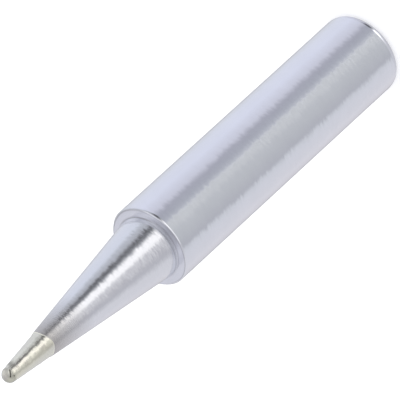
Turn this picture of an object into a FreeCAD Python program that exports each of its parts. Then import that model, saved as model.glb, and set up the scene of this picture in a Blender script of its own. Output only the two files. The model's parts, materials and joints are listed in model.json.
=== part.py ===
"""Soldering iron tip: a slip-on tip turned from one bar, with a blind heater bore from the rear.

The tip stands on its flat rear end. Z runs along its axis towards the nose, and the origin is
the centre of the rear face. All lengths are in millimetres.
"""

import FreeCAD, Part
import enum
import math
import os
import Sketcher

# Alias, value and meaning of each size that can be set by itself.
SIZES = (
    ("bore_diameter", 4.3, "heater bore, which the rest of the barrel is built around"),
    ("bore_setback", 2.4, "shoulder back to where the bore's full diameter ends"),
    ("drill_angle", 118.0, "point of the drill that made the bore, in degrees"),
    ("bore_edge", 0.3, "chamfer round the mouth of the bore"),
    ("barrel_wall", 1.1, "wall of the barrel round the bore"),
    ("barrel_length", 26.5, "rear face to the shoulder"),
    ("rear_round", 0.45, "rounding of the rear rim"),
    ("shoulder_edge", 0.05, "chamfer round the front rim of the barrel"),
    ("shoulder_width", 0.715, "step from the barrel in to the plated cone"),
    ("root_radius", 0.05, "fillet between the shoulder and the cone"),
    ("cone_length", 16.95, "shoulder to the end of the nose"),
    ("nose_radius", 0.59, "ball at the end of the nose"),
    ("tinned_length", 4.5, "working end that solder wets, up to the end of the nose"),
    ("tin_relief", 0.04, "how far the tinned end stands back from the plated cone"),
)


class Spot(enum.IntEnum):
    """Start, end and centre of a sketch element, counted from one."""

    START = enum.auto()
    END = enum.auto()
    CENTRE = enum.auto()


class Fixed(enum.IntEnum):
    """What each sketch has from the start: its level axis, which holds the origin, and its upright axis."""

    LEVEL = -1
    UPRIGHT = -2


ORIGIN = (Fixed.LEVEL, Spot.START)

EDGE_TOLERANCE = 0.001


def make_sheet(doc):
    """Put each size in a cell of its own, with its alias, and its meaning beside it."""
    sheet = doc.addObject("Spreadsheet::Sheet", "Sizes")
    for row, (alias, value, meaning) in enumerate(SIZES, start=1):
        sheet.set(f"A{row}", meaning)
        sheet.set(f"B{row}", str(value))
        sheet.setAlias(f"B{row}", alias)
    doc.recompute()
    return sheet


def origin_plane(body, role):
    """Find one of the body's own planes by its role."""
    return next(item for item in body.Origin.OriginFeatures if item.Role == role)


def add_sketch(body, name, role):
    """Attach an empty sketch to one of the body's planes."""
    sketch = body.newObject("Sketcher::SketchObject", name)
    sketch.AttachmentSupport = [(origin_plane(body, role), "")]
    sketch.MapMode = "FlatFace"
    return sketch


def bind(sketch, name, constraint, formula):
    """Add a named dimension to a sketch and tie it to the sheet."""
    sketch.addConstraint(constraint)
    sketch.renameConstraint(sketch.ConstraintCount - 1, name)
    sketch.setExpression(f"Constraints.{name}", formula)


def join(sketch, first, second):
    """Make the end of one element the start of the next."""
    sketch.addConstraint(Sketcher.Constraint("Coincident", first, Spot.END, second, Spot.START))


def outer_corners(sheet):
    """Work out the corners of the half section, as (radius, height), from the rear to the nose."""
    bore = sheet.bore_diameter / 2
    barrel = bore + sheet.barrel_wall
    cone = barrel - sheet.shoulder_width
    shoulder = sheet.barrel_length
    nose_end = shoulder + sheet.cone_length
    ball_centre = nose_end - sheet.nose_radius
    tin_start = nose_end - sheet.tinned_length

    def tangent_slope(radius, height):
        """Angle from the axis of the line from a point to the nose ball that just touches it."""
        rise = ball_centre - height
        reach = math.hypot(radius, rise)
        return math.acos(sheet.nose_radius / reach) - math.atan2(rise, radius)

    def touch_point(slope):
        """Point of the nose ball that a line at this slope touches."""
        radius = sheet.nose_radius * math.cos(slope)
        return radius, ball_centre + sheet.nose_radius * math.sin(slope)

    cone_slope = tangent_slope(cone, shoulder)
    plated_end = cone - (tin_start - shoulder) * math.tan(cone_slope)
    tinned_start = plated_end - sheet.tin_relief
    tinned_slope = tangent_slope(tinned_start, tin_start)
    return {
        "rear_centre": (0, 0),
        "bore_mouth": (bore, 0),
        "rear_rim": (barrel, 0),
        "shoulder_rim": (barrel, shoulder),
        "cone_root": (cone, shoulder),
        "plated_end": (plated_end, tin_start),
        "tinned_start": (tinned_start, tin_start),
        "tinned_end": touch_point(tinned_slope),
        "cone_touch": touch_point(cone_slope),
        "ball_centre": (0, ball_centre),
        "nose_end": (0, nose_end),
    }


def draw_outline(body, sheet, corners):
    """Draw the half section of the solid tip: barrel, shoulder, plated cone, tinned taper and ball nose."""
    sketch = add_sketch(body, "Outline", "XZ_Plane")
    points = {name: FreeCAD.Vector(radius, height, 0) for name, (radius, height) in corners.items()}

    def add_line(first, second, construction=False):
        return sketch.addGeometry(Part.LineSegment(points[first], points[second]), construction)

    rear_face = add_line("rear_centre", "rear_rim")
    barrel = add_line("rear_rim", "shoulder_rim")
    shoulder = add_line("shoulder_rim", "cone_root")
    cone = add_line("cone_root", "plated_end")
    step = add_line("plated_end", "tinned_start")
    taper = add_line("tinned_start", "tinned_end")
    ball = Part.Circle(points["ball_centre"], FreeCAD.Vector(0, 0, 1), sheet.nose_radius)
    start_angle = math.asin((points["tinned_end"].y - points["ball_centre"].y) / sheet.nose_radius)
    nose = sketch.addGeometry(Part.ArcOfCircle(ball, start_angle, math.pi / 2), False)
    axis = add_line("nose_end", "rear_centre")
    # The plated cone runs on, as a construction line, until it touches the nose ball.
    cone_run = add_line("plated_end", "cone_touch", construction=True)

    join(sketch, rear_face, barrel)
    join(sketch, barrel, shoulder)
    join(sketch, shoulder, cone)
    join(sketch, cone, step)
    join(sketch, step, taper)
    join(sketch, axis, rear_face)
    join(sketch, nose, axis)
    sketch.addConstraint(Sketcher.Constraint("Tangent", taper, Spot.END, nose, Spot.START))
    sketch.addConstraint(Sketcher.Constraint("Tangent", cone, Spot.END, cone_run, Spot.START))
    sketch.addConstraint(Sketcher.Constraint("Tangent", cone_run, Spot.END, nose))
    sketch.addConstraint(Sketcher.Constraint("Coincident", rear_face, Spot.START, *ORIGIN))
    sketch.addConstraint(Sketcher.Constraint("PointOnObject", nose, Spot.END, Fixed.UPRIGHT))
    sketch.addConstraint(Sketcher.Constraint("PointOnObject", nose, Spot.CENTRE, Fixed.UPRIGHT))
    for level in (rear_face, shoulder, step):
        sketch.addConstraint(Sketcher.Constraint("Horizontal", level))
    sketch.addConstraint(Sketcher.Constraint("Vertical", barrel))

    def across(name, start, end, formula):
        """Tie the distance from one point out to another, across the axis."""
        width = sketch.getPoint(*end).x - sketch.getPoint(*start).x
        bind(sketch, name, Sketcher.Constraint("DistanceX", *start, *end, width), formula)

    def along(name, start, end, formula):
        """Tie the distance from one point up to another, along the axis."""
        height = sketch.getPoint(*end).y - sketch.getPoint(*start).y
        bind(sketch, name, Sketcher.Constraint("DistanceY", *start, *end, height), formula)

    rear_rim = (rear_face, Spot.END)
    shoulder_rim = (barrel, Spot.END)
    cone_root = (shoulder, Spot.END)
    plated_end = (step, Spot.START)
    tinned_start = (step, Spot.END)
    nose_end = (nose, Spot.END)
    across("barrel_radius", ORIGIN, rear_rim, "Sizes.bore_diameter / 2 + Sizes.barrel_wall")
    across("shoulder_width", cone_root, shoulder_rim, "Sizes.shoulder_width")
    across("tin_relief", tinned_start, plated_end, "Sizes.tin_relief")
    along("barrel_length", rear_rim, shoulder_rim, "Sizes.barrel_length")
    along("cone_length", cone_root, nose_end, "Sizes.cone_length")
    along("tinned_length", tinned_start, nose_end, "Sizes.tinned_length")
    bind(sketch, "nose_radius", Sketcher.Constraint("Radius", nose, sheet.nose_radius), "Sizes.nose_radius")
    return sketch


def turn_outline(body, sketch):
    """Turn the half section a whole turn about the tip's axis."""
    blank = body.newObject("PartDesign::Revolution", "TurnedBlank")
    blank.Profile = sketch
    blank.ReferenceAxis = (sketch, ["V_Axis"])
    blank.Angle = 360
    return blank


def circle_edge(feature, radius, height):
    """Name the whole circular edge of a feature that has this radius at this height on the axis."""
    for number, edge in enumerate(feature.Shape.Edges, start=1):
        curve = edge.Curve
        if not isinstance(curve, Part.Circle):
            continue
        off_radius = abs(curve.Radius - radius)
        off_height = abs(curve.Center.z - height)
        if max(off_radius, off_height) < EDGE_TOLERANCE:
            return f"Edge{number}"
    raise RuntimeError(f"{feature.Name} has no circular edge of radius {radius} at height {height}")


def drill_bore(doc, body, sheet, base):
    """Drill the blind heater bore from the rear face, with the drill's pointed end."""
    sketch = add_sketch(body, "BoreCircle", "XY_Plane")
    radius = sheet.bore_diameter / 2
    circle = sketch.addGeometry(Part.Circle(FreeCAD.Vector(), FreeCAD.Vector(0, 0, 1), radius), False)
    sketch.addConstraint(Sketcher.Constraint("Coincident", circle, Spot.CENTRE, *ORIGIN))
    bind(sketch, "bore_radius", Sketcher.Constraint("Radius", circle, radius), "Sizes.bore_diameter / 2")
    doc.recompute()
    bore = body.newObject("PartDesign::Hole", "HeaterBore")
    bore.Profile = sketch
    bore.Reversed = True
    bore.DepthType = "Dimension"
    bore.DrillPoint = "Angled"
    bore.setExpression("Diameter", "Sizes.bore_diameter")
    bore.setExpression("Depth", "Sizes.barrel_length - Sizes.bore_setback")
    bore.setExpression("DrillPointAngle", "Sizes.drill_angle")
    doc.recompute()
    depth = sheet.barrel_length - sheet.bore_setback
    point_height = radius / math.tan(math.radians(sheet.drill_angle / 2))
    expected = math.pi * radius**2 * (depth + point_height / 3)
    removed = base.Shape.Volume - bore.Shape.Volume
    if abs(removed / expected - 1) > 0.001:
        raise RuntimeError(f"the heater bore removed {removed} cubic mm instead of {expected}")
    return bore


def make_tip(doc, sheet):
    """Build the one-piece tip in the order in which it is made: turned, edged, then drilled."""
    body = doc.addObject("PartDesign::Body", "SolderingTip")
    body.Label = "soldering_tip"
    corners = outer_corners(sheet)
    outline = draw_outline(body, sheet, corners)
    blank = turn_outline(body, outline)
    doc.recompute()

    def dress(kind, name, base, corner, size_property, alias):
        """Add a fillet or a chamfer round one corner of the section, with its size tied to the sheet."""
        dressing = body.newObject(f"PartDesign::{kind}", name)
        dressing.Base = (base, [circle_edge(base, *corners[corner])])
        dressing.setExpression(size_property, f"Sizes.{alias}")
        doc.recompute()
        return dressing

    rooted = dress("Fillet", "ConeRoot", blank, "cone_root", "Radius", "root_radius")
    fronted = dress("Chamfer", "ShoulderEdge", rooted, "shoulder_rim", "Size", "shoulder_edge")
    rounded = dress("Fillet", "RearRim", fronted, "rear_rim", "Radius", "rear_round")
    bore = drill_bore(doc, body, sheet, rounded)
    dress("Chamfer", "BoreMouth", bore, "bore_mouth", "Size", "bore_edge")
    return body


def check_document(doc, bodies):
    """Stop before anything is written if an object failed or a shape isn't one valid solid."""
    for item in doc.Objects:
        if "Invalid" in item.State or "Error" in item.State:
            raise RuntimeError(f"{item.Name} failed: {item.State}")
        if item.isDerivedFrom("Sketcher::SketchObject") and not item.FullyConstrained:
            raise RuntimeError(f"{item.Name} isn't fully constrained")
    for body in bodies:
        shape = body.Shape
        if shape.isNull() or not shape.isValid() or len(shape.Solids) != 1:
            raise RuntimeError(f"{body.Label} isn't one valid solid")


def export_bodies(bodies):
    """Write each body to a STEP file that has its label as its name."""
    os.makedirs("parts", exist_ok=True)
    for body in bodies:
        body.Shape.exportStep(f"parts/{body.Label}.step")
        solid = body.Shape.Solids[0]
        size = solid.optimalBoundingBox()
        print(f"{body.Label}: {solid.Volume:.3f} cubic mm, {size.XLength:.3f} x {size.YLength:.3f} x "
              f"{size.ZLength:.3f} mm, balance point {solid.CenterOfMass.z:.3f} mm above the rear face")


def main():
    doc = FreeCAD.newDocument("SolderingIronTip")
    sheet = make_sheet(doc)
    bodies = [make_tip(doc, sheet)]
    doc.recompute()
    check_document(doc, bodies)
    export_bodies(bodies)


main()
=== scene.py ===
"""Soldering iron tip: a turned and plated slip-on tip with a tinned ball nose, standing on its rear end.

Lengths named here are in millimetres. The frame and every mesh are in metres. An angle called side is
measured round the tip from the camera's side, towards +X.
"""

import json
import math

import bpy
import numpy as np
from mathutils import Matrix, Vector


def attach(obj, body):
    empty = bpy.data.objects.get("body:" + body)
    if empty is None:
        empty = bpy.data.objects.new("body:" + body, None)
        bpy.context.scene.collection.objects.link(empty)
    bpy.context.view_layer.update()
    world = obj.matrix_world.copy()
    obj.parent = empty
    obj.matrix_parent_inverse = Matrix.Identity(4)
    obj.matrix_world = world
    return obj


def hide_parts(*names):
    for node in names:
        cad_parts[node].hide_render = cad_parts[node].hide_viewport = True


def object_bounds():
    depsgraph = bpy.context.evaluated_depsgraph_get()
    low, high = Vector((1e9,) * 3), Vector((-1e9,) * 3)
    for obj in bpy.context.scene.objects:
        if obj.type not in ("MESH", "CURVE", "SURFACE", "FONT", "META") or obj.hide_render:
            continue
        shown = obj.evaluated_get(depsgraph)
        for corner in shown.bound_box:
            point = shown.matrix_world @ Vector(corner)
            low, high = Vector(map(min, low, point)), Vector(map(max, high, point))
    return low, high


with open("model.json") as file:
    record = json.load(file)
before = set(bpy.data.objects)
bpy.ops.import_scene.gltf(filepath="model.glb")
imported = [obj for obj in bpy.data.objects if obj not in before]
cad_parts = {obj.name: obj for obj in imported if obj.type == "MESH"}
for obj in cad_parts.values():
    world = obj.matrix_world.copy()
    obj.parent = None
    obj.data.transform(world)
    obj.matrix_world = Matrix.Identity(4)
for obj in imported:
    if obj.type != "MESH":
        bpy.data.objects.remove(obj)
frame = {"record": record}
cad_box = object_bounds()

MM = 0.001

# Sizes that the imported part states: its mounts and its height.
mounts = {mount["name"]: mount for mount in frame["record"]["mounts"]}
BARREL_RADIUS = mounts["barrel"]["dims"]["r_mm"]
BORE_RADIUS = mounts["heater_bore"]["dims"]["r_mm"]
SHOULDER_HEIGHT = mounts["shoulder_face"]["pos_m"][2] / MM
NOSE_HEIGHT = cad_box[1].z / MM

# Sizes of the turned form, as in the part's own source.
SHOULDER_WIDTH = 0.715
SHOULDER_EDGE = 0.05
REAR_ROUND = 0.45
BORE_EDGE = 0.3
BORE_SETBACK = 2.4
DRILL_ANGLE = math.radians(118.0)
NOSE_RADIUS = 0.59
TINNED_LENGTH = 4.5
TIN_RELIEF = 0.04

# The part has a 0.05 round at the cone's root. It is sharper here, because at 0.05 it showed as a bright
# ring.
ROOT_ROUND = 0.015

# The plating's end isn't cut square: it slopes down to the solder over this height.
EDGE_SLANT = 0.03

# Tumbling and plating leave each turned corner with a small round.
CORNER_ROUND = 0.06
DRILL_ROUND = 0.12
FINE_ROUND = 0.02
STEP_ROUND = 0.01

# Tumbling also wears the barrel to a slight taper just under its front chamfer.
WORN_LENGTH = 0.06
WORN_DEPTH = 0.012
WORN_ROUND = 0.1

# Its rear end leans in too: a line from the full barrel, this far above the rear rounding, reaches this
# far in at the rear face. The rounding cuts most of it off, and leaves a wear of about 0.008.
REAR_LEAN_LENGTH = 0.08
REAR_LEAN = 0.04

# A spot on the front rim is rubbed down. Its depth, and how far the rows under it drop, are given at
# distances below the rim.
RUBBED_SIDE = math.radians(23)
RUBBED_WIDTH = math.radians(14)
RUBBED_DEPTH = ((-0.01, 0), (0, 0.04), (0.05, 0.008), (0.11, 0))
RUBBED_DROP = ((0.05, 0), (0.11, 0.09), (0.5, 0))

# The far half of the front rim is worn to a slope, given in the same way. On the face both wears fade
# out over this width.
FAR_DEPTH = ((-0.01, 0), (0, 0.15), (0.05, 0.138), (0.11, 0.09), (0.23, 0))
WEAR_FADE = 0.2

# Painted shade darkens the cone's root, most at one side, and a line this far up the cone from it. It
# also darkens the front rim, except at one side and opposite it.
DARKEST_SIDE = math.radians(76)
UNSHADED_SIDE = math.radians(25)
ROOT_LINE_RISE = 0.16

# On the rear rounding painted shade lies in a line this far in from the barrel and this far up, as
# shares of the rounding's radius.
REAR_SHADE_IN = 0.36
REAR_SHADE_UP = 0.23

# Half the height of the waves of the tin's edge, and the height of the solder's lumps and its shrinkage.
EDGE_WAVE = 0.09
LUMP_HEIGHT = 0.003
LUMP_SHRINK = 0.004

# Marks at the nose, each a path of (side in degrees, distance below the nose's end).
CREASE = ((27, 0.5), (21, 0.44), (5, 0.31), (-22, 0.19))
LIP = ((34, 0.42), (27, 0.35), (12, 0.23))
# Along this path the ball's tarnished tone is left off, which paints a light highlight streak.
PAINTED_STREAK = ((39, 0.5), (22, 0.344), (0, 0.2))
FLAT_SPOT = ((-3, 0.36), (1, 0.5), (5, 0.62), (6, 0.8))
RIDGE = ((-5, 0.31), (2, 0.35))
PIT = ((-31, 0.46), (-27, 0.44))
SCUFF = ((74, 1.06), (54, 0.98), (36, 0.86))
# This end of the scuffed patch is darkened as painted shade, which dims the solder's highlight there.
SHADED_SCUFF_END = ((20, 1.0), (0, 1.1))
SCUFF_RINGS = 0.126

# The lengths of the cone that turn dull before the solder, and of the end that the nose's marks reach.
DULL_LENGTH = 4
MARKED_LENGTH = 2

# Worked out from the sizes above.
CONE_RADIUS = BARREL_RADIUS - SHOULDER_WIDTH
TIN_HEIGHT = NOSE_HEIGHT - TINNED_LENGTH
BALL_HEIGHT = NOSE_HEIGHT - NOSE_RADIUS
BORE_END = SHOULDER_HEIGHT - BORE_SETBACK
BORE_POINT = BORE_END + BORE_RADIUS / math.tan(DRILL_ANGLE / 2)

# Points round the tip in the mesh.
TURN_STEPS = 200

# The values that a noise mostly stays between, and a little wider.
NOISE_SPAN = (0.35, 0.65)
WIDE_SPAN = (0.3, 0.7)

# Finishes, in the order in which the tip carries them.
SATIN, BRIGHT, TINNED, DRILLED = range(4)


def touching_slope(radius, height):
    """Angle from the axis of the line from a point of the section that just touches the nose ball."""
    rise = BALL_HEIGHT - height
    return math.acos(NOSE_RADIUS / math.hypot(radius, rise)) - math.atan2(rise, radius)


CONE_SLOPE = touching_slope(CONE_RADIUS, SHOULDER_HEIGHT)
PLATED_END = CONE_RADIUS - (TIN_HEIGHT - SHOULDER_HEIGHT) * math.tan(CONE_SLOPE)
TINNED_SLOPE = touching_slope(PLATED_END - TIN_RELIEF, TIN_HEIGHT + EDGE_SLANT)
# Where the tinned taper, carried on, reaches the height of the nose's end.
TAPER_AT_NOSE = PLATED_END - TIN_RELIEF - (TINNED_LENGTH - EDGE_SLANT) * math.tan(TINNED_SLOPE)


def smooth_step(value):
    """Ease from 0 to 1 as value goes from 0 to 1: three times its square less twice its cube."""
    value = np.clip(value, 0.0, 1.0)
    return value * value * (3 - 2 * value)


def bell(distance, width):
    """Bell curve: e to the power of minus the square of the distance over the width."""
    return np.exp(-((distance / width) ** 2))


def eased(count):
    """Fractions from 0 to 1 that crowd towards both ends: half of one less the cosine of a half turn."""
    return (1 - np.cos(np.linspace(0, math.pi, count))) / 2


def section_outline():
    """The closed section from the drill point, out over the rear rim and up to the nose.

    Each corner is (radius, height, round, rows along the span that leads to it, rows round it). A round
    is the arc that touches both spans: it starts its radius times the tangent of half the turn before
    the corner.
    """
    corners = (
        (0.0, BORE_POINT, 0.0, 0, 0),
        (BORE_RADIUS, BORE_END, DRILL_ROUND, 8, 7),
        (BORE_RADIUS, BORE_EDGE, CORNER_ROUND, 16, 7),
        (BORE_RADIUS + BORE_EDGE, 0.0, CORNER_ROUND, 5, 7),
        (BARREL_RADIUS - REAR_LEAN, 0.0, REAR_ROUND, 9, 20),
        (BARREL_RADIUS, REAR_ROUND + REAR_LEAN_LENGTH, FINE_ROUND, 4, 7),
        (BARREL_RADIUS, SHOULDER_HEIGHT - SHOULDER_EDGE - WORN_LENGTH, WORN_ROUND, 24, 7),
        (BARREL_RADIUS - WORN_DEPTH, SHOULDER_HEIGHT - SHOULDER_EDGE, FINE_ROUND, 4, 7),
        (BARREL_RADIUS - SHOULDER_EDGE, SHOULDER_HEIGHT, FINE_ROUND, 5, 7),
        (CONE_RADIUS, SHOULDER_HEIGHT, ROOT_ROUND, 8, 7),
        (PLATED_END, TIN_HEIGHT, 0.0, 90, 0),
        (PLATED_END - TIN_RELIEF, TIN_HEIGHT + EDGE_SLANT, STEP_ROUND, 4, 7),
        (TAPER_AT_NOSE, NOSE_HEIGHT, NOSE_RADIUS, 170, 48),
        (0.0, NOSE_HEIGHT, 0.0, 0, 0),
    )
    points = np.array([corner[:2] for corner in corners])
    start = points[0]
    rows = [start[None]]
    for number, (_, _, round_radius, span_rows, arc_rows) in enumerate(corners[1:], start=1):
        corner = points[number]
        inward = corner - points[number - 1]
        inward = inward / np.linalg.norm(inward)
        if round_radius == 0.0:
            if span_rows:
                rows.append(start + eased(span_rows)[1:, None] * (corner - start))
            start = corner
            continue
        outward = points[number + 1] - corner
        outward = outward / np.linalg.norm(outward)
        turn = math.acos(float(inward @ outward))
        tangent = round_radius * math.tan(turn / 2)
        arc_start = corner - tangent * inward
        rows.append(start + eased(span_rows)[1:, None] * (arc_start - start))
        angles = np.linspace(0, turn, arc_rows)[1:, None]
        normal = outward - inward * float(inward @ outward)
        normal = normal / np.linalg.norm(normal)
        centre = arc_start + round_radius * normal
        rows.append(centre + round_radius * (inward * np.sin(angles) - normal * np.cos(angles)))
        start = corner + tangent * outward
    return np.concatenate(rows)


def wave_field(turn, height, seed, count, around, along):
    """Smooth random relief of about unit size: a sum of cosine waves, over the root of half their count.

    Each has a whole number of crests round the tip, so it meets itself. turn is the angle round the tip
    and height is in mm; around and along are the most crests in a turn and in a millimetre.
    """
    rng = np.random.default_rng(seed)
    field = np.zeros(np.broadcast(turn, height).shape)
    for _ in range(count):
        waves = rng.integers(0, around + 1)
        pitch = rng.uniform(-along, along) * 2 * math.pi
        field += np.cos(waves * turn + pitch * height + rng.uniform(0, 2 * math.pi))
    return field / math.sqrt(count / 2)


def edge_rise(turn):
    """How far the solder's edge lies past the plating's end: three waves round the tip, 0.18 mm high."""
    return EDGE_WAVE + EDGE_WAVE * np.cos(3 * turn + math.radians(150))


def near_path(points, path):
    """Distance of each point from a path of straight runs: the least of its distances from each run."""
    nearest = np.full(points.shape[:-1], np.inf)
    for start, end in zip(path[:-1], path[1:]):
        run = end - start
        share = ((points - start) @ run / (run @ run)).clip(0, 1)[..., None]
        nearest = np.minimum(nearest, np.linalg.norm(points - start - share * run, axis=-1))
    return nearest


def nose_marks(points, height, outline):
    """Relief, stains and painted light at the nose.

    Relief: a crease with a raised lip beside it, a short ridge, a flat spot, a pit, and a scuffed patch
    crossed by rings. Painted shade darkens the crease and the pit, and the scuffed patch's end, where it
    dims the solder's highlight; a stain darkens the rest of the scuffed patch, and a tarnished tone eases
    in over the ball, left off along a painted highlight streak beside the crease. Each mark is a bell curve
    of the distance from its path, and the rings are a cosine of the height.
    """

    def spot(side, below):
        """Point of the section at this side, this far below the nose's end."""
        level = NOSE_HEIGHT - below
        radius = np.interp(level, outline[:, 1], outline[:, 0])
        side = math.radians(side)
        return np.array([radius * math.sin(side), -radius * math.cos(side), level])

    def mark(path, width):
        """Bell curve of the distance from a path of (side, below) points."""
        middle = np.array([spot(side, below) for side, below in path])
        return bell(near_path(points, middle), width)

    scuff_and_shade = mark(SCUFF, 0.26) + 0.4 * mark(SHADED_SCUFF_END, 0.14)
    rings = np.cos(2 * math.pi * height / SCUFF_RINGS)
    relief = -0.05 * mark(CREASE, 0.045) + 0.014 * mark(LIP, 0.06) + 0.03 * mark(RIDGE, 0.11)
    relief = relief - 0.011 * mark(FLAT_SPOT, 0.12) - 0.035 * mark(PIT, 0.045) + 0.003 * rings * scuff_and_shade
    # Tarnished tone over the ball, left off along a path to paint a highlight streak.
    tarnish_less_highlight = smooth_step((height - BALL_HEIGHT + 0.1) / 0.3) * (1 - 0.9 * mark(PAINTED_STREAK, 0.05))
    # Darkening in the crease and the pit is painted shade, and so is the scuffed patch's darker end.
    dirt = 0.9 * mark(CREASE, 0.035) + 0.8 * mark(PIT, 0.035) + scuff_and_shade * (0.55 + 0.2 * rings) + 0.38 * tarnish_less_highlight
    return relief, dirt


def rim_wear(side, radius, height):
    """How far the front rim is worn in, and how far the rows under it drop.

    The rubbed spot is a bell round the tip: e to the power of the cosine of the angle from its middle,
    less 1, over 1 less the cosine of its width. The far half's slope eases in as the cosine of the side
    falls. Down the barrel each goes straight from one of its given depths to the next, and across the
    face it fades out evenly.
    """
    below_rim = SHOULDER_HEIGHT - height
    on_rim = 1 - np.clip((BARREL_RADIUS - SHOULDER_EDGE - radius) / WEAR_FADE, 0, 1)
    rubbed = np.exp((np.cos(side - RUBBED_SIDE) - 1) / (1 - math.cos(RUBBED_WIDTH)))
    far_half = smooth_step((0.35 - np.cos(side)) / 0.7)
    worn = rubbed * np.interp(below_rim, *zip(*RUBBED_DEPTH))
    worn = worn + far_half * np.interp(below_rim, *zip(*FAR_DEPTH))
    drop = rubbed * np.interp(below_rim, *zip(*RUBBED_DROP))
    return worn * on_rim, drop


def painted_form_shade(side, radius, height):
    """Painted shade on the turned form, as bell curves of the distance in the section from where it lies.

    In the cone's root it eases in towards its darkest side, and elsewhere it also lies in a line above the
    root. On the front rim it grows as the sine of the angle from the unshaded side, with a little more at
    the darkest side, and its line is widest at +X. On the rear rounding it is even.
    """
    root = np.hypot(radius - CONE_RADIUS, height - SHOULDER_HEIGHT)
    above_root = np.hypot(radius - CONE_RADIUS + 0.02, height - SHOULDER_HEIGHT - ROOT_LINE_RISE)
    rim = np.hypot(radius - BARREL_RADIUS + SHOULDER_EDGE, height - SHOULDER_HEIGHT)
    rear = np.hypot(radius - BARREL_RADIUS + REAR_SHADE_IN * REAR_ROUND, height - REAR_SHADE_UP * REAR_ROUND)
    toward_darkest = smooth_step((np.cos(side - DARKEST_SIDE) - 0.55) / 0.3)
    beside_unshaded = abs(np.sin(side - UNSHADED_SIDE))
    rim_width = 0.06 + 0.03 * np.sin(side)
    # Painted shade: darkening in the root, in a line above it, on the front rim and along the rear rounding.
    dirt = (0.14 + 0.28 * toward_darkest) * bell(root, 0.055) + 0.34 * (1 - toward_darkest) * bell(above_root, 0.045)
    return dirt + (0.48 * beside_unshaded + 0.12 * toward_darkest) * bell(rim, rim_width) + 0.3 * bell(rear, 0.09)


def ring_faces(rows, last):
    """Faces of a surface of closed rings, numbered from 1, with a fan of triangles at each pole.

    The poles are point 0 and point last. A quad joins two neighbours of one ring to those of the next.
    """
    index = 1 + np.arange(rows * TURN_STEPS).reshape(rows, TURN_STEPS)
    beside = np.roll(index, -1, axis=1)
    quads = np.stack([index[:-1], beside[:-1], beside[1:], index[1:]], axis=-1).reshape(-1, 4)
    fan_in = np.stack([np.zeros(TURN_STEPS, int), beside[0], index[0]], axis=-1)
    fan_out = np.stack([index[-1], beside[-1], np.full(TURN_STEPS, last)], axis=-1)
    return fan_in.tolist() + quads.tolist() + fan_out.tolist()


def face_finishes(radius, height, outside):
    """The finish of each face, by the middle of its row: the bore, then the form from its rim to the nose."""
    row_radius = (radius[:-1, 0] + radius[1:, 0]) / 2
    row_height = (height[:-1, 0] + height[1:, 0]) / 2
    row_outside = outside[1:, 0]
    finish = np.where(row_outside | (row_radius > BORE_RADIUS + 0.01), SATIN, DRILLED)
    finish[row_outside & (row_height > SHOULDER_HEIGHT + ROOT_ROUND / 4)] = BRIGHT
    finish[row_outside & (row_height > TIN_HEIGHT)] = TINNED
    return np.repeat(np.concatenate([[DRILLED], finish, [TINNED]]), TURN_STEPS)


def turned_tip():
    """The whole surface: each row of the section is a circle whose radius is the section's plus the relief.

    Within 1 mm of the tin's edge the rows slide along the cone by the edge's rise, so one row is the edge
    itself. Beyond it slow lumps of solder fade in from the edge and out at the nose's end. The marks at
    the nose push the surface out along its normal, which on the ball turns up as the height over its
    middle.
    """
    outline = section_outline()
    radius, height = outline[1:-1, 0, None], outline[1:-1, 1, None]
    turn = np.arange(TURN_STEPS)[None] * 2 * math.pi / TURN_STEPS
    side = turn + math.pi / 2
    # Rows after the section's lowest and widest point are outside, and those before it line the bore.
    outside = np.arange(1, len(outline) - 1)[:, None] > np.argmin(outline[:, 1] - outline[:, 0])

    slide = edge_rise(turn) * smooth_step(1 - abs(height - TIN_HEIGHT)) * outside
    beyond = smooth_step((height - TIN_HEIGHT - EDGE_SLANT) / 0.3) * outside
    lumps = LUMP_HEIGHT * wave_field(turn, height, seed=21, count=40, around=9, along=1.6)
    crown = np.sqrt(np.clip(NOSE_HEIGHT - height, 0, None) / NOSE_RADIUS).clip(0, 1)
    worn, drop = rim_wear(side, radius, height)
    ring = radius - slide * math.tan(CONE_SLOPE) + (lumps - LUMP_SHRINK) * beyond * crown - worn * outside
    level = height + slide - drop * outside
    grid = np.stack([ring * np.cos(turn), ring * np.sin(turn), level], axis=-1)
    # Stains, painted shade and a painted highlight streak, stored with the mesh to darken the metal.
    dirt = painted_form_shade(side, radius, height) * outside

    end_rows = (outside & (height > NOSE_HEIGHT - MARKED_LENGTH))[:, 0]
    marks, end_dirt_and_shade = nose_marks(grid[end_rows], height[end_rows], outline[1:-1][end_rows])
    rise = np.clip((height[end_rows] - BALL_HEIGHT) / NOSE_RADIUS, 0, 1)
    outward = np.stack([np.cos(turn), np.sin(turn), np.zeros_like(turn)], axis=-1)
    facing = outward * np.sqrt(1 - rise**2)[..., None] + np.array([0, 0, 1]) * rise[..., None]
    grid[end_rows] += marks[..., None] * facing
    dirt[end_rows] += end_dirt_and_shade

    points = np.concatenate([[[0, 0, outline[0, 1]]], grid.reshape(-1, 3), [[0, 0, outline[-1, 1]]]])
    mesh = bpy.data.meshes.new("plated_tip")
    mesh.from_pydata(points * MM, [], ring_faces(len(outline) - 2, len(points) - 1))
    mesh.polygons.foreach_set("use_smooth", np.ones(len(mesh.polygons), bool))
    stored_dirt_and_shade = mesh.attributes.new("dirt", "FLOAT", "POINT")
    stored_dirt_and_shade.data.foreach_set("value", np.concatenate([[0], dirt.ravel(), [0]]).astype(np.float32))
    mesh.polygons.foreach_set("material_index", face_finishes(radius, height, outside))
    mesh.validate()
    tip = bpy.data.objects.new("plated_tip", mesh)
    bpy.context.scene.collection.objects.link(tip)
    return tip


def linear(colour):
    """Turn an sRGB hex colour into the linear RGBA that shaders take."""
    parts = [int(colour[i : i + 2], 16) / 255 for i in (1, 3, 5)]
    return [part / 12.92 if part <= 0.04045 else ((part + 0.055) / 1.055) ** 2.4 for part in parts] + [1.0]


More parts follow.
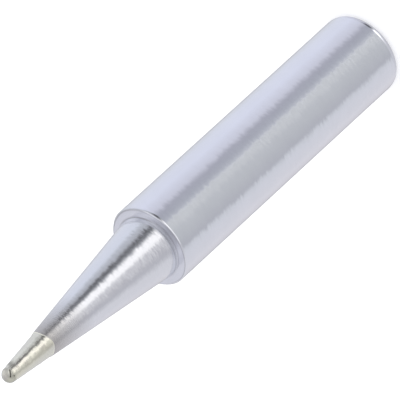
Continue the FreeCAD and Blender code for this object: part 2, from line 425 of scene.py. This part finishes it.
def add(tree, kind, sockets=(), stops=(), **settings):
    """Add one node.

    sockets pairs each input with a value or an output, stops fills a colour ramp with (place, colour),
    and settings are the node's own properties.
    """
    made = tree.nodes.new(kind)
    for name, value in settings.items():
        setattr(made, name, value)
    for name, value in sockets:
        if isinstance(value, bpy.types.NodeSocket):
            tree.links.new(value, made.inputs[name])
        else:
            made.inputs[name].default_value = value
    if stops:
        elements = made.color_ramp.elements
        elements.remove(elements[1])
        elements[0].position, elements[0].color = stops[0]
        for place, colour in stops[1:]:
            elements.new(place).color = colour
    return made


def span(value, source, target):
    """Sockets that map a value from the source span to the target span."""
    return [
        ("Value", value),
        ("From Min", source[0]),
        ("From Max", source[1]),
        ("To Min", target[0]),
        ("To Max", target[1]),
    ]


def new_material(name):
    """An empty node material with its output, and the object coordinates that every finish reads."""
    material = bpy.data.materials.new(name)
    material.use_nodes = True
    tree = material.node_tree
    tree.nodes.clear()
    output = add(tree, "ShaderNodeOutputMaterial")
    place = add(tree, "ShaderNodeTexCoord").outputs["Object"]
    return material, tree, output, place


def streaks(tree, place, around, along, detail):
    """Noise drawn out round the tip, like turning marks: around and along are its sizes in mm.

    It is read at (x, y, height less radius), so it makes rings on the barrel and on the flat faces alike.
    """
    parts = add(tree, "ShaderNodeSeparateXYZ", [("Vector", place)]).outputs
    flat = add(tree, "ShaderNodeCombineXYZ", [("X", parts["X"]), ("Y", parts["Y"])]).outputs["Vector"]
    radius = add(tree, "ShaderNodeVectorMath", [(0, flat)], operation="LENGTH").outputs["Value"]
    section = add(tree, "ShaderNodeMath", [(0, parts["Z"]), (1, radius)], operation="SUBTRACT").outputs[0]
    spot = add(tree, "ShaderNodeCombineXYZ", [("X", parts["X"]), ("Y", parts["Y"]), ("Z", section)])
    scale = (1 / (around * MM), 1 / (around * MM), 1 / (along * MM))
    stretched = add(tree, "ShaderNodeMapping", [("Vector", spot.outputs["Vector"]), ("Scale", scale)])
    sockets = [("Vector", stretched.outputs["Vector"]), ("Scale", 1.0), ("Detail", detail)]
    return add(tree, "ShaderNodeTexNoise", sockets).outputs["Fac"]


def metal(tree, output, colour, roughness, spread, marks, chatter, depth):
    """Plated metal whose turning marks run round the axis, so its gloss spreads along the axis.

    chatter is how far, in radians, a mark turns the surface to one side round the tip, which gives the
    bands of light their toothed edges. depth is the marks' depth in mm. Where the mesh marks stains and
    painted shade, the metal is darkened and dulled.
    """
    # A dark colour mixed in for stains and for painted shade.
    grime_and_shade_colour = linear("#393831")
    dulling = 0.3
    dirt = add(tree, "ShaderNodeAttribute", attribute_name="dirt").outputs["Fac"]
    shades = [("Factor", dirt), ("A", colour), ("B", grime_and_shade_colour)]
    shaded_and_dirtied = add(tree, "ShaderNodeMix", shades, data_type="RGBA").outputs["Result"]
    dulled = add(tree, "ShaderNodeMath", [(0, dirt), (1, dulling), (2, roughness)], operation="MULTIPLY_ADD")
    around_axis = add(tree, "ShaderNodeTangent", direction_type="RADIAL", axis="Z").outputs["Tangent"]
    sway = add(tree, "ShaderNodeMapRange", span(marks, WIDE_SPAN, (-chatter, chatter))).outputs["Result"]
    aside = add(tree, "ShaderNodeVectorMath", [(0, around_axis), ("Scale", sway)], operation="SCALE")
    facing = add(tree, "ShaderNodeNewGeometry").outputs["Normal"]
    swayed = add(tree, "ShaderNodeVectorMath", [(0, facing), (1, aside.outputs[0])], operation="ADD")
    turned = add(tree, "ShaderNodeVectorMath", [(0, swayed.outputs[0])], operation="NORMALIZE")
    bump_sockets = [("Height", marks), ("Distance", depth * MM), ("Normal", turned.outputs[0])]
    bump = add(tree, "ShaderNodeBump", bump_sockets).outputs["Normal"]
    shader_sockets = [
        ("Base Color", shaded_and_dirtied),
        ("Metallic", 1.0),
        ("Roughness", dulled.outputs[0]),
        ("Anisotropic", spread),
        ("Anisotropic Rotation", 0.25),
        ("Tangent", around_axis),
        ("Normal", bump),
    ]
    shader = add(tree, "ShaderNodeBsdfPrincipled", shader_sockets)
    tree.links.new(shader.outputs["BSDF"], output.inputs["Surface"])


def satin_plating():
    """Satin chrome plating over fine turning marks: soft bands of light with faint streaks across them.

    The real marks are under 0.1 mm apart, too fine to show, so they are drawn 0.18 mm apart.
    """
    material, tree, output, place = new_material("satin_chrome_plating")
    marks = streaks(tree, place, around=0.8, along=0.18, detail=3.0)
    cloud = streaks(tree, place, around=3.0, along=2.0, detail=2.0)
    shades = [("Factor", cloud), ("A", linear("#D2D3D9")), ("B", linear("#D8D9DF"))]
    shade = add(tree, "ShaderNodeMix", shades, data_type="RGBA").outputs["Result"]
    roughness = add(tree, "ShaderNodeMapRange", span(marks, NOISE_SPAN, (0.09, 0.15))).outputs["Result"]
    metal(tree, output, shade, roughness, spread=0.4, marks=marks, chatter=0.045, depth=0.0003)
    return material


def bright_plating():
    """Bright chrome plating on the finer-turned cone: sharp dark and white bands, duller by the solder.

    The real marks are finer than 0.05 mm, too fine to show, so they are drawn 0.07 mm apart.
    """
    material, tree, output, place = new_material("bright_chrome_plating")
    marks = streaks(tree, place, around=0.5, along=0.07, detail=1.0)
    height = add(tree, "ShaderNodeSeparateXYZ", [("Vector", place)]).outputs["Z"]
    dull_span = ((TIN_HEIGHT - DULL_LENGTH) * MM, TIN_HEIGHT * MM)
    near_tin = add(tree, "ShaderNodeMapRange", span(height, dull_span, (0.0, 1.0))).outputs["Result"]
    shades = [("Factor", near_tin), ("A", linear("#D6D7DC")), ("B", linear("#B2AFAD"))]
    shade = add(tree, "ShaderNodeMix", shades, data_type="RGBA").outputs["Result"]
    bright = add(tree, "ShaderNodeMapRange", span(marks, NOISE_SPAN, (0.1, 0.2))).outputs["Result"]
    dull = add(tree, "ShaderNodeMapRange", span(marks, NOISE_SPAN, (0.26, 0.42))).outputs["Result"]
    gloss = [("Factor", near_tin), ("A", bright), ("B", dull)]
    roughness = add(tree, "ShaderNodeMix", gloss).outputs["Result"]
    metal(tree, output, shade, roughness, spread=0.7, marks=marks, chatter=0.06, depth=0.0002)
    return material


def solder_coat():
    """Solder left on the iron-plated end by tinning: yellowish silver, softly lumpy, pitted here and there.

    Its tone changes across the tip: yellower to one side, where the solder is stained, and painted paler
    and less yellow across the middle, where the highlight and the dark band of reflection fall. Its grain
    is about 0.2 mm.
    """
    material, tree, output, place = new_material("tinned_solder")
    grain = streaks(tree, place, around=0.25, along=0.2, detail=4.0)
    cloud = streaks(tree, place, around=0.6, along=0.6, detail=2.0)
    from_left = add(tree, "ShaderNodeSeparateXYZ", [("Vector", place)]).outputs["X"]
    tinned_span = (-0.8 * MM, 0.8 * MM)
    across = add(tree, "ShaderNodeMapRange", span(from_left, tinned_span, (0.0, 1.0))).outputs["Result"]
    # Painted light: the stops from 0.5 to 0.82 make the middle paler and less yellow where the highlight and
    # the dark band of reflection fall.
    tones = (
        (0.06, linear("#D0CFC8")),
        (0.25, linear("#D5D2C2")),
        (0.38, linear("#D6D3C4")),
        (0.5, linear("#DFDBD2")),
        (0.62, linear("#DCD8D1")),
        (0.72, linear("#E9E5DB")),
        (0.82, linear("#DFDCD1")),
        (0.98, linear("#D1CEC5")),
    )
    stained_and_lit_tone = add(tree, "ShaderNodeValToRGB", [("Fac", across)], stops=tones).outputs["Color"]
    patches = add(tree, "ShaderNodeMapRange", span(cloud, WIDE_SPAN, (0.0, 0.5))).outputs["Result"]
    shades = [("Factor", patches), ("A", stained_and_lit_tone), ("B", linear("#DADBCB"))]
    shade = add(tree, "ShaderNodeMix", shades, data_type="RGBA").outputs["Result"]
    roughness = add(tree, "ShaderNodeMapRange", span(cloud, WIDE_SPAN, (0.15, 0.26))).outputs["Result"]
    metal(tree, output, shade, roughness, spread=0.2, marks=grain, chatter=0.06, depth=0.004)
    return material


def drilled_bore():
    """Drilled copper under thin plating: dull grey, clouded, with the drill's rings 0.25 mm apart."""
    material, tree, output, place = new_material("drilled_plated_wall")
    rings = streaks(tree, place, around=6.0, along=0.25, detail=2.0)
    cloud = streaks(tree, place, around=2.5, along=3.0, detail=2.0)
    shades = [("Factor", cloud), ("A", linear("#8F8E92")), ("B", linear("#C0BCB6"))]
    shade = add(tree, "ShaderNodeMix", shades, data_type="RGBA").outputs["Result"]
    roughness = add(tree, "ShaderNodeMapRange", span(rings, NOISE_SPAN, (0.36, 0.48))).outputs["Result"]
    metal(tree, output, shade, roughness, spread=0.5, marks=rings, chatter=0.02, depth=0.01)
    return material


# The light tent, ring above ring. A wall's stops are (side, red, green, blue), where 1 is white.

# Straight below the tip.
PIT_WALL = (
    (-180, 0.76, 0.76, 0.80),
    (180, 0.76, 0.76, 0.80),
)

# The rear rounding mirrors this one: a strip light beside a dark gap.
UNDERFOOT = (
    (-180, 0.45, 0.45, 0.48),
    (-160, 0.85, 0.85, 0.90),
    (-34, 0.80, 0.81, 0.85),
    (-18, 1.05, 1.05, 1.08),
    (0, 1.60, 1.60, 1.60),
    (8, 2.40, 2.40, 2.40),
    (20, 2.40, 2.40, 2.40),
    (29, 0.70, 0.70, 0.72),
    (36, 0.10, 0.10, 0.11),
    (54, 0.12, 0.12, 0.14),
    (70, 0.80, 0.81, 0.90),
    (160, 0.85, 0.87, 0.98),
    (180, 0.45, 0.45, 0.48),
)

# The barrel mirrors this one: one broad grey wall between two pale ones.
LOW = (
    (-180, 0.34, 0.34, 0.36),
    (-150, 0.80, 0.79, 0.83),
    (-128, 0.92, 0.91, 0.95),
    (-82, 0.90, 0.91, 0.96),
    (-70, 0.85, 0.87, 0.91),
    (-59, 0.63, 0.64, 0.68),
    (-28, 0.70, 0.72, 0.74),
    (-14, 0.72, 0.74, 0.76),
    (-2, 0.78, 0.80, 0.81),
    (9, 0.77, 0.79, 0.80),
    (12, 0.81, 0.83, 0.85),
    (14, 0.77, 0.79, 0.82),
    (17, 0.65, 0.67, 0.72),
    (26, 0.57, 0.59, 0.65),
    (44, 0.57, 0.58, 0.65),
    (59, 0.85, 0.86, 0.96),
    (92, 0.99, 1.02, 1.15),
    (128, 0.95, 0.98, 1.08),
    (150, 0.82, 0.84, 0.89),
    (180, 0.34, 0.34, 0.36),
)

# The cone and the solder mirror this one: a strip light, a dark gap, and grey beyond.
MIDDLE = (
    (-180, 0.34, 0.34, 0.36),
    (-150, 0.80, 0.80, 0.84),
    (-128, 0.89, 0.89, 0.94),
    (-80, 0.90, 0.90, 0.94),
    (-57, 0.65, 0.65, 0.69),
    (-36, 0.655, 0.65, 0.685),
    (-14, 0.77, 0.76, 0.79),
    (-1, 1.44, 1.42, 1.40),
    (17.5, 1.44, 1.42, 1.40),
    (28.5, 0.42, 0.43, 0.45),
    (35, 0.24, 0.25, 0.26),
    (40, 0.17, 0.17, 0.18),
    (45, 0.20, 0.20, 0.21),
    (56, 0.63, 0.65, 0.69),
    (70, 0.68, 0.71, 0.77),
    (86, 0.93, 0.97, 1.07),
    (128, 0.94, 0.97, 1.06),
    (150, 0.83, 0.85, 0.91),
    (180, 0.34, 0.34, 0.36),
)

# The bright line on the front rim comes from this one, and some of the light on the solder.
BRIM = (
    (-180, 0.60, 0.60, 0.64),
    (-160, 0.85, 0.85, 0.90),
    (-46, 0.80, 0.80, 0.84),
    (-30, 1.60, 1.60, 1.60),
    (24, 1.60, 1.60, 1.60),
    (32, 0.10, 0.10, 0.11),
    (62, 0.10, 0.10, 0.11),
    (78, 0.75, 0.77, 0.82),
    (160, 0.85, 0.85, 0.90),
    (180, 0.60, 0.60, 0.64),
)

# The foot of the cone mirrors this one by way of the shoulder's face.
BROW = (
    (-180, 0.85, 0.86, 0.92),
    (-150, 0.90, 0.91, 0.97),
    (-120, 1.12, 1.13, 1.18),
    (-90, 1.12, 1.13, 1.18),
    (-60, 0.86, 0.87, 0.92),
    (-20, 0.74, 0.75, 0.78),
    (0, 0.80, 0.81, 0.85),
    (40, 1.05, 1.06, 1.10),
    (60, 1.08, 1.09, 1.14),
    (90, 0.86, 0.88, 0.95),
    (106, 1.20, 1.22, 1.28),
    (125, 1.30, 1.32, 1.38),
    (150, 1.10, 1.12, 1.18),
    (180, 0.85, 0.86, 0.92),
)

# The front chamfer mirrors this one, and so does part of the nose.
ROOF = (
    (-180, 0.88, 0.88, 0.94),
    (-135, 1.02, 1.02, 1.08),
    (-90, 1.22, 1.22, 1.26),
    (-60, 1.00, 1.00, 1.05),
    (-20, 0.76, 0.76, 0.80),
    (0, 0.66, 0.66, 0.70),
    (20, 0.80, 0.80, 0.84),
    (40, 1.00, 1.00, 1.04),
    (60, 1.40, 1.40, 1.44),
    (90, 1.34, 1.34, 1.38),
    (135, 1.02, 1.02, 1.08),
    (180, 0.88, 0.88, 0.94),
)

# The shoulder's face mirrors this one by way of the cone.
TOP = (
    (-180, 0.88, 0.88, 0.94),
    (-135, 1.02, 1.02, 1.08),
    (-96, 1.24, 1.24, 1.28),
    (-72, 1.00, 1.00, 1.05),
    (-50, 0.80, 0.80, 0.84),
    (-25, 0.78, 0.78, 0.82),
    (0, 0.74, 0.74, 0.78),
    (25, 0.90, 0.90, 0.94),
    (38, 0.86, 0.86, 0.90),
    (50, 0.86, 0.86, 0.90),
    (75, 1.03, 1.03, 1.07),
    (96, 1.14, 1.14, 1.18),
    (118, 1.14, 1.14, 1.18),
    (135, 1.02, 1.02, 1.08),
    (180, 0.88, 0.88, 0.94),
)

# Each ring takes over from the one below it between two elevations, in degrees.
TENT = (
    (-59, -54, UNDERFOOT),
    (-46, -43, LOW),
    (-33, -28, MIDDLE),
    (-21, -18, BRIM),
    (-12, -8, BROW),
    (30, 42, ROOF),
    (44, 47, TOP),
)


def light_tent():
    """A pale tent round the tip, with a strip light and a dark gap, which the metal reflects.

    Each wall is a ramp over the side, and the rings are mixed in turn by the sine of the elevation. The
    camera sees plain white instead.
    """
    world = bpy.data.worlds.new("light_tent")
    world.use_nodes = True
    tree = world.node_tree
    tree.nodes.clear()
    direction = add(tree, "ShaderNodeTexCoord").outputs["Generated"]
    parts = add(tree, "ShaderNodeSeparateXYZ", [("Vector", direction)]).outputs
    to_camera = add(tree, "ShaderNodeMath", [(0, parts["Y"]), (1, -1.0)], operation="MULTIPLY").outputs[0]
    side = add(tree, "ShaderNodeMath", [(0, parts["X"]), (1, to_camera)], operation="ARCTAN2").outputs[0]
    whole_turn = span(side, (-math.pi, math.pi), (0.0, 1.0))
    turn = add(tree, "ShaderNodeMapRange", whole_turn).outputs["Result"]

    def wall_light(wall):
        """One wall's light as a ramp over the turn."""
        stops = [((angle + 180) / 360, (red, green, blue, 1)) for angle, red, green, blue in wall]
        return add(tree, "ShaderNodeValToRGB", [("Fac", turn)], stops=stops).outputs["Color"]

    light = wall_light(PIT_WALL)
    for low, high, wall in TENT:
        heights = (math.sin(math.radians(low)), math.sin(math.radians(high)))
        rise = add(tree, "ShaderNodeMapRange", span(parts["Z"], heights, (0.0, 1.0))).outputs["Result"]
        rings = [("Factor", rise), ("A", light), ("B", wall_light(wall))]
        light = add(tree, "ShaderNodeMix", rings, data_type="RGBA").outputs["Result"]
    tent = add(tree, "ShaderNodeBackground", [("Color", light), ("Strength", 1.0)]).outputs[0]
    plain = add(tree, "ShaderNodeBackground", [("Color", (1, 1, 1, 1)), ("Strength", 1.0)]).outputs[0]
    seen = add(tree, "ShaderNodeLightPath").outputs["Is Camera Ray"]
    mixed = add(tree, "ShaderNodeMixShader", [(0, seen), (1, tent), (2, plain)]).outputs[0]
    add(tree, "ShaderNodeOutputWorld", [("Surface", mixed)])
    bpy.context.scene.world = world


def white_floor():
    """A plain white floor under the tip, which glows a little, so that its shadow is soft and pale.

    It is clear from below, and the metal doesn't mirror it.
    """
    reach = 1000 * MM
    mesh = bpy.data.meshes.new("floor")
    corners = [(-reach, -reach, 0), (reach, -reach, 0), (reach, reach, 0), (-reach, reach, 0)]
    mesh.from_pydata(corners, [], [(0, 1, 2, 3)])
    floor = bpy.data.objects.new("floor", mesh)
    bpy.context.scene.collection.objects.link(floor)
    material, tree, output, _ = new_material("white_floor")
    paint = add(tree, "ShaderNodeBsdfDiffuse", [("Color", linear("#E6E6E6"))]).outputs[0]
    glow = add(tree, "ShaderNodeEmission", [("Color", (1, 1, 1, 1)), ("Strength", 0.4)]).outputs[0]
    lit = add(tree, "ShaderNodeAddShader", [(0, paint), (1, glow)]).outputs[0]
    clear = add(tree, "ShaderNodeBsdfTransparent").outputs[0]
    below = add(tree, "ShaderNodeNewGeometry").outputs["Backfacing"]
    both = add(tree, "ShaderNodeMixShader", [(0, below), (1, lit), (2, clear)]).outputs[0]
    tree.links.new(both, output.inputs["Surface"])
    mesh.materials.append(material)
    floor.visible_glossy = False
    floor.visible_shadow = False


def photo_camera():
    """The photograph's view: a long lens looking down on the tip, rolled so the nose points lower left."""
    elevation = math.radians(37.760)
    roll = math.radians(132.446)
    distance = 542.62
    aim = Vector((0.030, 0.0, 20.222))
    camera = bpy.data.cameras.new("photo_camera")
    camera.sensor_width = 36.0
    camera.lens = 686.23
    camera.clip_start = 50 * MM
    camera.clip_end = 10000 * MM
    seat = bpy.data.objects.new("photo_camera", camera)
    bpy.context.scene.collection.objects.link(seat)
    back = Vector((0, -math.cos(elevation), math.sin(elevation)))
    level = back.to_track_quat("Z", "Y").to_matrix().to_4x4()
    away = Matrix.Translation((aim + back * distance) * MM)
    seat.matrix_world = away @ level @ Matrix.Rotation(-roll, 4, "Z")
    bpy.context.scene.camera = seat


tip = turned_tip()
for finish in (satin_plating(), bright_plating(), solder_coat(), drilled_bore()):
    tip.data.materials.append(finish)
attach(tip, "root")
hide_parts("soldering_tip")

light_tent()
white_floor()
photo_camera()
bpy.context.scene.view_settings.view_transform = "Standard"
